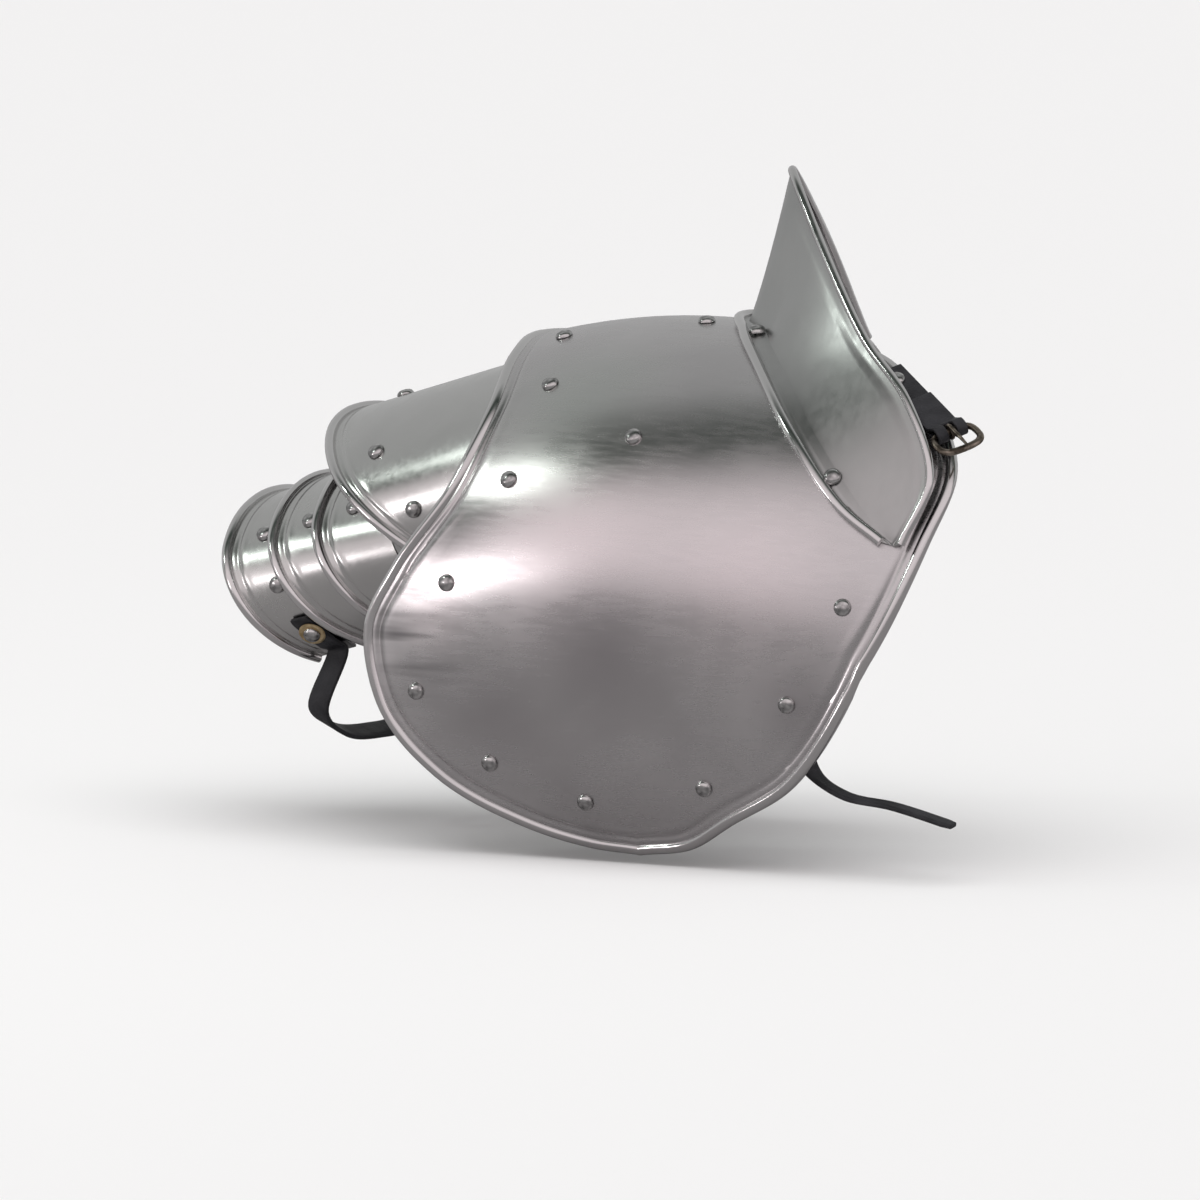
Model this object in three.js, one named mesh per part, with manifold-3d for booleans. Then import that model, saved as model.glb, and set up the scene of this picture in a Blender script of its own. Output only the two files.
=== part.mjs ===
// A plate-armour pauldron (shoulder defence): a domed main plate with a front and a rear wing, a standing
// haute-piece that guards the neck, four articulated arm lames on internal leathers, and its straps and buckle.
//
// Millimetres, +Z up. +X points to the neck, -X along the arm, -Y to the front. The origin is the inside of the
// crown, where the plate rests on the shoulder.
import * as THREE from 'three';
import { mergeVertices } from 'three/addons/utils/BufferGeometryUtils.js';
import Module from 'manifold-3d';

const wasm = await Module();
wasm.setup();

// ---- Driving dimensions -------------------------------------------------------------------------------------
const GAP = 0.3;                 // clearance between touching pieces
const INSIDE_GAP = 1.7;          // clearance under a curved plate, whose flat facets cut its inner corners
const PLATE_THICKNESS = 1.5;
const LAME_THICKNESS = 1.2;
const LEATHER_THICKNESS = 1.6;
const MAIN_ROLL_RADIUS = 2.8;    // rolled rim of the main plate
const SMALL_ROLL_RADIUS = 2.0;   // rolled rims of the haute-piece and the lames

const RIVET_HEAD_RADIUS = 4.0;
const RIVET_HEAD_HEIGHT = 2.4;
const RIVET_SHANK_RADIUS = 1.4;
const RIVET_TAIL_RADIUS = 2.6;
const RIVET_TAIL_HEIGHT = 0.8;
const RIVET_SIDES = 6;
const HOLE_RADIUS = RIVET_SHANK_RADIUS + GAP;

// The dome of the main plate: a barrel along X, deepest at depthCentre, narrowing towards both ends.
const DOME = {
  depth: 112, depthCentre: 10, depthReach: 270, upperHeight: 120, lowerHeight: 160,
  crownPeak: 30, crownFallToArm: 0.0016, crownFallToNeck: 0.001,
};

// Outline of the main plate from the lowest point of the front wing to that of the rear wing, as [x, degrees
// round the barrel]: once along the arm side and once along the neck side.
const ARM_EDGE = [
  [46, 133.2], [20, 132.2], [-10, 127.4], [-50, 115.5], [-77, 100], [-82, 88], [-68, 77], [-42, 61], [-36, 43],
  [-46, 21], [-56, 0], [-47, -20], [-44, -45], [-56, -72], [-46, -95], [-14, -109], [10, -111.5],
];
const NECK_EDGE = [
  [46, 133.2], [72, 130.6], [97, 123.6], [132, 113], [158, 98], [177, 80], [188, 61], [192, 43], [177, 28], [141, 13],
  [102, 0], [90, -22], [80, -48], [74, -74], [58, -96], [32, -108.5], [10, -111.5],
];

// Haute-piece: its foot on the dome as [x, degrees], and its free upper edge as [x, y, z], from rear to front.
const HAUTE_FOOT = [[82, -27], [62, -14], [51, 1], [66, 14], [91, 29], [119, 44.5], [150, 58.5], [171, 63.5]];
const HAUTE_TOP = [
  [86, 48, -8], [80, 25, 36], [76, 0, 71], [103, -22, 43], [141, -46, 2], [172, -60, -24], [190, -71, -56],
  [182, -82, -85],
];
// How far the foot lies on the dome before it turns up, as [place along the foot, width]: narrow over the crown.
const HAUTE_FLANGE = [[0, 9], [0.2, 13], [0.32, 6], [0.42, 12.5], [0.8, 13], [1, 7]];
const HAUTE_FLANGE_SHARE = 0.45; // of the plate's height, where the plate is low
const HAUTE_FLANGE_ROWS = 1 / 3; // share of the surface's rows that lies on the dome

// Arm lames from the shoulder down. Each is a band round the arm: an inverted U of half-width and crest height
// about an axis through centre, tipped down by slope. crestLead is how far the crest of its free edge leads,
// sweep how far that edge runs back at the lower corners, hinge the place of its pivot along and above the axis,
// and rivetSetback the distance of its rivets from the free edge.
const LAMES = [
  { name: 'lame_1', centre: [-101, -92.4], slope: 17, halfWidth: 73.5, crest: 57, crestLead: 35.7, sweep: 10,
    length: 84, cornerLength: 0, reach: 112, hinge: [-40, -10], rivetSetback: 24 },
  { name: 'lame_2', centre: [-136.6, -117.2], slope: 14, halfWidth: 63, crest: 46.8, crestLead: 0, sweep: 31,
    length: 40, cornerLength: 6, reach: 140, hinge: [-26, 0], rivetSetback: 19 },
  { name: 'lame_3', centre: [-161.8, -123.5], slope: 14, halfWidth: 60.6, crest: 44.6, crestLead: 0, sweep: 31,
    length: 36, cornerLength: 8, reach: 142, hinge: [-26, 0], rivetSetback: 19 },
  { name: 'lame_4', centre: [-188, -130], slope: 14, halfWidth: 58.2, crest: 42.4, crestLead: 0, sweep: 24,
    length: 36, cornerLength: 8, reach: 146, hinge: [-26, 0], rivetSetback: 19 },
];
const LAME_TAPER = 0.05;         // each lame narrows by this much per millimetre towards its hidden edge
const SWEEP_START = 60;          // degrees from the crest where the free edge starts to run back
const LEATHER_LINES = [['front', 56], ['crest', 0], ['rear', -56]];
const LEATHER_WIDTH = 14;
const LEATHER_END = 5;           // leather past its rivet
const MAIN_LEATHER_REACH = 14;   // leather from the main plate's rivets towards the arm
const MAIN_LEATHER_RIVETS = [['front', -10, 37], ['crest', -27, 15], ['rear', -18, -37]];

// Places along the foot and shares of the flange, from the foot.
const HAUTE_RIVETS = [['rear', 0.2, 0.57], ['crest', 0.42, 0.57], ['front', 0.79, 0.66]];

const NECK_STRAP = { start: [143, 18.5], end: [187, 34.5], width: 15, lift: [5, 8.4], rivetSetback: 9 };
const BUCKLE = { width: 19.5, length: 12.5, wire: 1.5, slot: 4.6, tongueWire: 1.0 };
const ARM_STRAP = { width: 10.5, thickness: 2.2, u: -35, angle: 122, drop: 50, lean: 0, tilt: 28 };
const BODY_STRAP = {
  width: 12, tipWidth: 7, thickness: 2.2, rivet: [133, 100],
  route: [[135, -80, -189], [150, -78, -198.5], [176, -78, -202], [208, -80, -208.5]],
};
const WASHER = { outer: 6.2, thickness: 1.0 };

const STEEL = { color: 0x9d9b9c, roughness: 0.28, metalness: 1 };
const RIVET_STEEL = { color: 0xb4b2b0, roughness: 0.2, metalness: 1 };
const BRASS = { color: 0xd6b174, roughness: 0.35, metalness: 1 };
const BRONZE = { color: 0x6f5c48, roughness: 0.4, metalness: 1 };
const LEATHER = { color: 0x17171a, roughness: 0.6, metalness: 0 };

// ---- Small helpers ------------------------------------------------------------------------------------------
const rad = THREE.MathUtils.degToRad;
const vec = (x, y, z) => new THREE.Vector3(x, y, z);
const model = new THREE.Group();

function addPiece(name, geometry, look) {
  const mesh = new THREE.Mesh(geometry, new THREE.MeshStandardMaterial(look));
  mesh.name = name;
  model.add(mesh);
  return mesh;
}

function toSolid(geometry) {
  const plain = geometry.clone();
  plain.deleteAttribute('normal');
  plain.deleteAttribute('uv');
  const merged = mergeVertices(plain, 1e-4);
  const index = merged.index.array;
  const triangles = [];
  for (let i = 0; i < index.length; i += 3) {
    const [a, b, c] = [index[i], index[i + 1], index[i + 2]];
    if (a !== b && b !== c && c !== a) {
      triangles.push(a, b, c);
    }
  }
  const mesh = new wasm.Mesh({
    numProp: 3,
    vertProperties: new Float32Array(merged.attributes.position.array),
    triVerts: new Uint32Array(triangles),
  });
  return new wasm.Manifold(mesh);
}

function toGeometry(solid) {
  const mesh = solid.getMesh();
  const geometry = new THREE.BufferGeometry();
  geometry.setAttribute('position', new THREE.BufferAttribute(new Float32Array(mesh.vertProperties), 3));
  geometry.setIndex(new THREE.BufferAttribute(new Uint32Array(mesh.triVerts), 1));
  geometry.computeVertexNormals();
  return geometry;
}

// A closed sheet solid between two grids of points, both called as grid(row, column).
function sheetGeometry(outer, inner, rows, columns) {
  const positions = [];
  const triangles = [];
  const stride = columns + 1;
  const layer = (rows + 1) * stride;
  for (const grid of [outer, inner]) {
    for (let i = 0; i <= rows; i += 1) {
      for (let j = 0; j <= columns; j += 1) {
        positions.push(...grid(i, j).toArray());
      }
    }
  }
  const quad = (a, b, c, d) => triangles.push(a, b, c, a, c, d);
  const at = (side, i, j) => side * layer + i * stride + j;
  for (let i = 0; i < rows; i += 1) {
    for (let j = 0; j < columns; j += 1) {
      quad(at(0, i, j), at(0, i + 1, j), at(0, i + 1, j + 1), at(0, i, j + 1));
      quad(at(1, i, j), at(1, i, j + 1), at(1, i + 1, j + 1), at(1, i + 1, j));
    }
    quad(at(0, i, 0), at(1, i, 0), at(1, i + 1, 0), at(0, i + 1, 0));
    quad(at(0, i, columns), at(0, i + 1, columns), at(1, i + 1, columns), at(1, i, columns));
  }
  for (let j = 0; j < columns; j += 1) {
    quad(at(0, 0, j), at(0, 0, j + 1), at(1, 0, j + 1), at(1, 0, j));
    quad(at(0, rows, j), at(1, rows, j), at(1, rows, j + 1), at(0, rows, j + 1));
  }
  const geometry = new THREE.BufferGeometry();
  geometry.setAttribute('position', new THREE.Float32BufferAttribute(positions, 3));
  geometry.setIndex(triangles);
  return geometry;
}

// A sheet that follows surface(u, v) between two offsets along its normal; u and v run from 0 to 1.
function shellSolid(surface, low, high, rows, columns) {
  const grid = (offset) => (i, j) => {
    const { point, normal } = surface(i / rows, j / columns);
    return point.clone().addScaledVector(normal, offset);
  };
  const solid = toSolid(sheetGeometry(grid(high), grid(low), rows, columns));
  return solid.volume() < 0 ? toSolid(sheetGeometry(grid(low), grid(high), rows, columns)) : solid;
}

function rimTube(points, radius, closed, segments) {
  const path = new THREE.CatmullRomCurve3(points, closed, 'centripetal');
  if (closed) {
    return toSolid(new THREE.TubeGeometry(path, segments, radius, 6, true));
  }
  const section = new THREE.Shape().absarc(0, 0, radius, 0, 2 * Math.PI, false);
  const settings = { steps: segments, extrudePath: path, curveSegments: 3 };
  return toSolid(new THREE.ExtrudeGeometry(section, settings));
}

// A smooth curve through flat [a, b] pairs, read as curve(0..1) -> Vector3(a, b, 0).
function flatCurve(pairs) {
  const curve = new THREE.CatmullRomCurve3(pairs.map(([a, b]) => vec(a, b, 0)), false, 'centripetal');
  return (s) => curve.getPoint(s);
}

function frameFrom(surfacePoint, a, b, stepA, stepB) {
  const point = surfacePoint(a, b);
  const alongA = surfacePoint(a + stepA, b).sub(surfacePoint(a - stepA, b));
  const alongB = surfacePoint(a, b + stepB).sub(surfacePoint(a, b - stepB));
  return { point, normal: alongA.cross(alongB).normalize() };
}

// ---- Rivets and their holes ---------------------------------------------------------------------------------
function rivetGeometry(stack) {
  const under = GAP;
  const profile = [
    new THREE.Vector2(0, -stack - RIVET_TAIL_HEIGHT),
    new THREE.Vector2(RIVET_TAIL_RADIUS, -stack - RIVET_TAIL_HEIGHT),
    new THREE.Vector2(RIVET_TAIL_RADIUS, -stack),
    new THREE.Vector2(RIVET_SHANK_RADIUS, -stack),
    new THREE.Vector2(RIVET_SHANK_RADIUS, under),
    new THREE.Vector2(RIVET_HEAD_RADIUS, under),
    new THREE.Vector2(0.75 * RIVET_HEAD_RADIUS, under + 0.7 * RIVET_HEAD_HEIGHT),
    new THREE.Vector2(0, under + RIVET_HEAD_HEIGHT),
  ];
  const geometry = new THREE.LatheGeometry(profile, RIVET_SIDES);
  geometry.rotateX(Math.PI / 2);
  return toGeometry(toSolid(geometry));
}

// Places a rivet with its head on the outer face at point, and returns the clearance hole for it.
function addRivet(name, point, normal, stack) {
  const turn = new THREE.Quaternion().setFromUnitVectors(vec(0, 0, 1), normal);
  const rivet = addPiece(name, rivetGeometry(stack), RIVET_STEEL);
  rivet.position.copy(point);
  rivet.quaternion.copy(turn);
  const drill = new THREE.CylinderGeometry(HOLE_RADIUS, HOLE_RADIUS, 2 * stack + 6, RIVET_SIDES);
  drill.rotateX(Math.PI / 2);
  drill.applyQuaternion(turn);
  drill.translate(point.x, point.y, point.z);
  return toSolid(drill);
}

const drilled = (solid, holes) => holes.reduce((body, hole) => body.subtract(hole), solid);

// ---- Main plate ---------------------------------------------------------------------------------------------
function domePoint(x, degrees) {
  const depth = DOME.depth * Math.sqrt(1 - ((x - DOME.depthCentre) / DOME.depthReach) ** 2);
  const fall = x < DOME.crownPeak ? DOME.crownFallToArm : DOME.crownFallToNeck;
  const crown = DOME.crownFallToArm * DOME.crownPeak ** 2 - fall * (x - DOME.crownPeak) ** 2;
  const turn = rad(degrees);
  const lower = Math.cos(turn) < 0 ? DOME.lowerHeight : DOME.upperHeight;
  return vec(x, -depth * Math.sin(turn), crown - DOME.upperHeight + lower * Math.cos(turn));
}

// Point on the dome and its outward normal, lifted off the inner face by offset.
function onDome(x, degrees, offset = 0) {
  const { point, normal } = frameFrom(domePoint, x, degrees, 0.5, -0.5);
  return { point: point.addScaledVector(normal, offset), normal };
}

// Rows bunch up towards the two wing tips, where the outline turns.
const tipSpacing = (s) => (1 - Math.cos(Math.PI * s)) / 2;

function mainPlate(holes) {
  const armEdge = flatCurve(ARM_EDGE);
  const neckEdge = flatCurve(NECK_EDGE);
  const surface = (u, v) => {
    const place = armEdge(tipSpacing(u)).lerp(neckEdge(tipSpacing(u)), v);
    return onDome(place.x, place.y);
  };
  const plate = shellSolid(surface, 0, PLATE_THICKNESS, 32, 9);
  const rimPoints = [];
  const count = 36;
  for (const [edge, from, to] of [[armEdge, 0, count], [neckEdge, count, 0]]) {
    const step = Math.sign(to - from);
    for (let i = from; i !== to; i += step) {
      const place = edge(tipSpacing(i / count));
      rimPoints.push(onDome(place.x, place.y, PLATE_THICKNESS / 2).point);
    }
  }
  const rim = rimTube(rimPoints, MAIN_ROLL_RADIUS, true, 64);
  return toGeometry(drilled(plate.add(rim), holes));
}

// ---- Haute-piece --------------------------------------------------------------------------------------------
const HAUTE_SEAT = PLATE_THICKNESS + 2 * GAP;
const hauteFoot = flatCurve(HAUTE_FOOT);
const hauteTop = new THREE.CatmullRomCurve3(HAUTE_TOP.map((p) => vec(...p)), false, 'centripetal');

function hauteFlange(s) {
  const next = Math.max(1, HAUTE_FLANGE.findIndex(([place]) => place >= s));
  const [[from, low], [to, high]] = [HAUTE_FLANGE[next - 1], HAUTE_FLANGE[next]];
  return THREE.MathUtils.lerp(low, high, THREE.MathUtils.smoothstep(s, from, to));
}

// The plate lies on the dome for the width of its flange, then turns up to its free edge.
function hautePoint(s, w) {
  const foot = hauteFoot(s);
  const end = hauteTop.getPoint(s);
  const height = onDome(foot.x, foot.y, HAUTE_SEAT).point.distanceTo(end);
  const flange = Math.min(hauteFlange(s), HAUTE_FLANGE_SHARE * height);
  const seated = (reach) => onDome(foot.x + reach, foot.y, HAUTE_SEAT).point;
  if (w < HAUTE_FLANGE_ROWS) {
    return seated(flange * w / HAUTE_FLANGE_ROWS);
  }
  const rise = new THREE.QuadraticBezierCurve3(seated(flange), seated(flange * 1.35), end);
  return rise.getPoint((w - HAUTE_FLANGE_ROWS) / (1 - HAUTE_FLANGE_ROWS));
}

function onHaute(s, w) {
  const inside = (value) => THREE.MathUtils.clamp(value, 0.006, 0.994);
  const { normal } = frameFrom(hautePoint, inside(s), inside(w), 0.005, 0.005);
  return { point: hautePoint(s, w), normal };
}

function hautePiece(holes) {
  const plate = shellSolid(onHaute, 0, PLATE_THICKNESS, 20, 6);
  const count = 14;
  const footPoints = [];
  const topPoints = [];
  for (let i = 0; i <= count; i += 1) {
    const foot = onHaute(i / count, 0);
    const top = onHaute(i / count, 1);
    footPoints.push(foot.point.addScaledVector(foot.normal, SMALL_ROLL_RADIUS));
    topPoints.push(top.point.addScaledVector(top.normal, PLATE_THICKNESS / 2));
  }
  const footRoll = rimTube(footPoints, SMALL_ROLL_RADIUS, false, 16);
  const topRoll = rimTube(topPoints, SMALL_ROLL_RADIUS, false, 22);
  return toGeometry(drilled(plate.add(footRoll).add(topRoll), holes));
}

// ---- Lames --------------------------------------------------------------------------------------------------
function lameAxes(lame) {
  const slope = rad(lame.slope);
  return {
    centre: vec(lame.centre[0], 0, lame.centre[1]),
    along: vec(-Math.cos(slope), 0, -Math.sin(slope)),
    crest: vec(-Math.sin(slope), 0, Math.cos(slope)),
  };
}

const freeEdge = (lame, degrees) => {
  const past = Math.max(0, Math.abs(degrees) - SWEEP_START) / (lame.reach - SWEEP_START);
  return lame.crestLead * Math.cos(rad(degrees)) - lame.sweep * past ** 1.6;
};

const hiddenEdge = (lame, degrees) => {
  const corner = THREE.MathUtils.smoothstep(Math.abs(degrees), 75, 105);
  return -lame.length - lame.cornerLength * corner;
};

// Point on the inner face of a lame: degrees round from the crest (+ to the front), u along the arm.
function lamePoint(lame, degrees, u) {
  const { centre, along, crest } = lameAxes(lame);
  const turn = rad(degrees);
  const taper = lame.crestLead === 0 ? LAME_TAPER * u : 0;
  return centre
    .addScaledVector(along, u)
    .addScaledVector(crest, (lame.crest + taper) * Math.cos(turn))
    .add(vec(0, -(lame.halfWidth + taper) * Math.sin(turn), 0));
}

function onLame(lame, degrees, u, offset = 0) {
  const { point, normal } = frameFrom((a, b) => lamePoint(lame, a, b), degrees, u, 0.5, -0.5);
  return { point: point.addScaledVector(normal, offset), normal };
}

function lamePlate(lame, holes) {
  const surface = (s, v) => {
    const degrees = THREE.MathUtils.lerp(-lame.reach, lame.reach, s);
    const u = THREE.MathUtils.lerp(hiddenEdge(lame, degrees), freeEdge(lame, degrees), v);
    return onLame(lame, degrees, u);
  };
  const plate = shellSolid(surface, 0, LAME_THICKNESS, 20, 2);
  const count = 20;
  const rimPoints = [];
  for (let i = 0; i <= count; i += 1) {
    const { point, normal } = surface(i / count, 1);
    rimPoints.push(point.addScaledVector(normal, SMALL_ROLL_RADIUS));
  }
  const roll = rimTube(rimPoints, SMALL_ROLL_RADIUS, false, 20);
  return toGeometry(drilled(plate.add(roll), holes));
}

// A leather under a lame, from just past its rivet to just past the hidden edge.
function lameLeather(lame, line, holes) {
  const halfTurn = THREE.MathUtils.radToDeg(LEATHER_WIDTH / 2 / lame.crest);
  const rivetAt = freeEdge(lame, line) - lame.rivetSetback;
  const surface = (s, v) => {
    const degrees = THREE.MathUtils.lerp(line - halfTurn, line + halfTurn, s);
    return onLame(lame, degrees, THREE.MathUtils.lerp(hiddenEdge(lame, line) - 2, rivetAt + LEATHER_END, v));
  };
  const leather = shellSolid(surface, -INSIDE_GAP - LEATHER_THICKNESS, -INSIDE_GAP, 2, 3);
  return toGeometry(drilled(leather, holes));
}

function addLame(lame, extraHoles) {
  const holes = [...extraHoles];
  const stack = LAME_THICKNESS + INSIDE_GAP + LEATHER_THICKNESS + GAP;
  for (const [line, degrees] of LEATHER_LINES) {
    const u = freeEdge(lame, degrees) - lame.rivetSetback;
    const { point, normal } = onLame(lame, degrees, u, LAME_THICKNESS);
    const hole = addRivet(`${lame.name}_rivet_${line}`, point, normal, stack);
    holes.push(hole);
    addPiece(`${lame.name}_leather_${line}`, lameLeather(lame, degrees, [hole]), LEATHER);
  }
  addPiece(lame.name, lamePlate(lame, holes), STEEL);
}

// ---- Straps -------------------------------------------------------------------------------------------------
// A flat strap along a path, with its width along widthAt(s) and its thickness square to both.
function strapSolid(path, widthAt, halfWidthAt, thickness, steps) {
  const surface = (s, v) => {
    const across = widthAt(s).normalize();
    const ahead = path.getTangent(THREE.MathUtils.clamp(s, 0.001, 0.999));
    const normal = ahead.clone().cross(across).normalize();
    const side = THREE.MathUtils.lerp(-1, 1, v) * halfWidthAt(s);
    return { point: path.getPoint(s).addScaledVector(across, side), normal };
  };
  return shellSolid(surface, -thickness / 2, thickness / 2, steps, 1);
}

function washerGeometry() {
  const inner = HOLE_RADIUS;
  const profile = [
    new THREE.Vector2(inner, 0), new THREE.Vector2(WASHER.outer, 0),
    new THREE.Vector2(WASHER.outer, WASHER.thickness), new THREE.Vector2(inner, WASHER.thickness),
    new THREE.Vector2(inner, 0),
  ];
  const geometry = new THREE.LatheGeometry(profile, 16);
  geometry.rotateX(Math.PI / 2);
  return toGeometry(toSolid(geometry));
}

// The arm strap hangs from the lower corners of the last lame as a loop under the arm.
function addArmStrap() {
  const lame = LAMES[3];
  const holes = [];
  const strapHoles = [];
  const strapLift = LAME_THICKNESS + 3 * GAP + ARM_STRAP.thickness / 2;
  for (const side of [1, -1]) {
    const tag = side > 0 ? 'front' : 'rear';
    const seat = LAME_THICKNESS + ARM_STRAP.thickness + 4 * GAP;
    const { point, normal } = onLame(lame, side * ARM_STRAP.angle, ARM_STRAP.u, seat);
    const washer = addPiece(`arm_strap_washer_${tag}`, washerGeometry(), BRASS);
    washer.position.copy(point);
    washer.quaternion.setFromUnitVectors(vec(0, 0, 1), normal);
    const head = point.clone().addScaledVector(normal, WASHER.thickness);
    const hole = addRivet(`arm_strap_rivet_${tag}`, head, normal, seat + WASHER.thickness + INSIDE_GAP);
    holes.push(hole);
    strapHoles.push(hole);
  }
  const seated = (angle, u) => onLame(lame, angle, u, strapLift).point;
  const wrap = (side) => [[-10, 3], [-5, 1.5], [0, 0], [6, -1], [12, -2], [18, -3]].map(
    ([turn, shift]) => seated(side * (ARM_STRAP.angle + turn), ARM_STRAP.u + shift),
  );
  const corner = seated(ARM_STRAP.angle, ARM_STRAP.u);
  const loop = [[-46, 14], [-28, 3], [0, 0], [26, 2], [42, 14]].map(
    ([y, lift]) => vec(corner.x - ARM_STRAP.lean, y, corner.z - ARM_STRAP.drop + lift),
  );
  const points = [...wrap(1), ...loop, ...wrap(-1).reverse()];
  const path = new THREE.CatmullRomCurve3(points, false, 'centripetal');
  const along = lameAxes(lame).along;
  const tilt = rad(ARM_STRAP.tilt);
  const widthAt = (s) => {
    const twist = THREE.MathUtils.smoothstep(0.5 - Math.abs(s - 0.5), 0.25, 0.45);
    return along.clone().negate().lerp(vec(Math.cos(tilt), 0, -Math.sin(tilt)), twist);
  };
  const strap = strapSolid(path, widthAt, () => ARM_STRAP.width / 2, ARM_STRAP.thickness, 44);
  addPiece('arm_strap', toGeometry(drilled(strap, strapHoles)), LEATHER);
  return holes;
}

// The neck strap lies over the neck rim of the main plate and is folded round the bar of its buckle. Its frame
// has x along the strap, y up off the plate and z across, from the strap's fixed end.
function neckStrapFrame() {
  const start = onDome(...NECK_STRAP.start, NECK_STRAP.lift[0]);
  const end = onDome(...NECK_STRAP.end, NECK_STRAP.lift[1]);
  const ahead = end.point.clone().sub(start.point);
  const length = ahead.length();
  ahead.normalize();
  const up = start.normal.clone().add(end.normal);
  const across = ahead.clone().cross(up).normalize();
  up.crossVectors(across, ahead);
  const basis = new THREE.Matrix4().makeBasis(ahead, up, across).setPosition(start.point);
  return { basis, length, ahead, up, across };
}

function neckStrapGeometry(length, hole) {
  const half = LEATHER_THICKNESS / 2;
  const barHeight = buckleHeight();
  const eye = BUCKLE.wire + 2 * GAP;
  const fold = eye + LEATHER_THICKNESS;
  const layers = half + LEATHER_THICKNESS;
  const side = new THREE.Shape();
  side.moveTo(0, -half);
  side.lineTo(length, -half);
  side.absarc(length, barHeight, fold, -Math.PI / 2, Math.PI / 2, false);
  side.lineTo(length - 2, barHeight + fold);
  side.lineTo(length - 8, layers);
  side.lineTo(length - 30, layers);
  side.lineTo(length - 30, half);
  side.lineTo(0, half);
  side.holes.push(new THREE.Path().absarc(length, barHeight, eye, 0, 2 * Math.PI, true));
  const strip = new THREE.ExtrudeGeometry(side, { depth: NECK_STRAP.width, bevelEnabled: false, curveSegments: 6 });
  strip.translate(0, 0, -NECK_STRAP.width / 2);
  const slot = new THREE.BoxGeometry(10, 14, BUCKLE.slot);
  slot.translate(length + 0.5, barHeight, 0);
  return toGeometry(toSolid(strip).subtract(toSolid(slot)).subtract(hole));
}

const buckleHeight = () => LEATHER_THICKNESS / 2 + BUCKLE.wire + 2 * GAP;

function buckleFrameGeometry() {
  const halfWidth = BUCKLE.width / 2;
  const corner = 2.5;
  const points = [
    vec(0, 0, 0), vec(0, 0, halfWidth - corner), vec(corner, 0, halfWidth), vec(BUCKLE.length - corner, 0, halfWidth),
    vec(BUCKLE.length, 0, halfWidth - corner), vec(BUCKLE.length + 1, 0, 0), vec(BUCKLE.length, 0, corner - halfWidth),
    vec(BUCKLE.length - corner, 0, -halfWidth), vec(corner, 0, -halfWidth), vec(0, 0, corner - halfWidth),
  ];
  return toGeometry(rimTube(points, BUCKLE.wire, true, 40));
}

function buckleTongueGeometry() {
  const ringRadius = BUCKLE.wire + GAP + BUCKLE.tongueWire;
  const ring = toSolid(new THREE.TorusGeometry(ringRadius, BUCKLE.tongueWire, 6, 12));
  const rodLength = BUCKLE.length + 2.5;
  const rod = new THREE.CylinderGeometry(BUCKLE.tongueWire, BUCKLE.tongueWire, rodLength, 6);
  rod.rotateZ(Math.PI / 2);
  rod.translate(rodLength / 2, ringRadius + 0.35, 0);
  return toGeometry(ring.add(toSolid(rod)));
}

function addNeckStrap() {
  const { basis, length } = neckStrapFrame();
  const hole = addStrapRivet('neck_strap_rivet', basis);
  const inStrapFrame = hole.transform(basis.clone().invert().elements);
  const barPlace = vec(length, buckleHeight(), 0).applyMatrix4(basis);
  const pieces = [
    addPiece('neck_strap', neckStrapGeometry(length, inStrapFrame), LEATHER),
    addPiece('buckle_frame', buckleFrameGeometry(), BRONZE),
    addPiece('buckle_tongue', buckleTongueGeometry(), BRONZE),
  ];
  for (const [i, piece] of pieces.entries()) {
    piece.quaternion.setFromRotationMatrix(basis);
    piece.position.copy(i === 0 ? vec(0, 0, 0).applyMatrix4(basis) : barPlace);
  }
  return hole;
}

function addStrapRivet(name, basis) {
  const normal = vec(0, 1, 0).transformDirection(basis);
  const head = vec(NECK_STRAP.rivetSetback, LEATHER_THICKNESS / 2, 0).applyMatrix4(basis);
  return addRivet(name, head, normal, LEATHER_THICKNESS + NECK_STRAP.lift[0] + INSIDE_GAP + 1);
}

// The body strap is riveted inside the front wing and runs out past its neck edge, narrowing to its tip.
function addBodyStrap() {
  const [x, degrees] = BODY_STRAP.rivet;
  const stack = PLATE_THICKNESS + INSIDE_GAP + BODY_STRAP.thickness + 4 * GAP;
  const head = onDome(x, degrees, PLATE_THICKNESS);
  const hole = addRivet('body_strap_rivet', head.point, head.normal, stack);
  const depth = -INSIDE_GAP - BODY_STRAP.thickness / 2;
  const points = [
    onDome(x, degrees - 5, depth).point, onDome(x, degrees, depth).point, onDome(x, degrees + 4, depth - 3.5).point,
    ...BODY_STRAP.route.map((place) => vec(...place)),
  ];
  const path = new THREE.CatmullRomCurve3(points, false, 'centripetal');
  const turned = (s) => THREE.MathUtils.smoothstep(s, 0.3, 0.6);
  const widthAt = (s) => vec(1, 0.22, 0).lerp(vec(0, 0.98, 0.18), turned(s));
  const halfWidthAt = (s) => THREE.MathUtils.lerp(BODY_STRAP.width, BODY_STRAP.tipWidth, turned(s)) / 2;
  const strap = strapSolid(path, widthAt, halfWidthAt, BODY_STRAP.thickness, 24);
  addPiece('body_strap', toGeometry(drilled(strap, [hole])), LEATHER);
  return hole;
}

// ---- Assembly -----------------------------------------------------------------------------------------------
function addHauteRivets() {
  return HAUTE_RIVETS.map(([tag, s, share]) => {
    const foot = hauteFoot(s);
    const lift = HAUTE_SEAT + PLATE_THICKNESS + 2 * GAP;
    const seat = onDome(foot.x + share * hauteFlange(s), foot.y, lift);
    return addRivet(`haute_rivet_${tag}`, seat.point, seat.normal, lift + INSIDE_GAP);
  });
}

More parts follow.
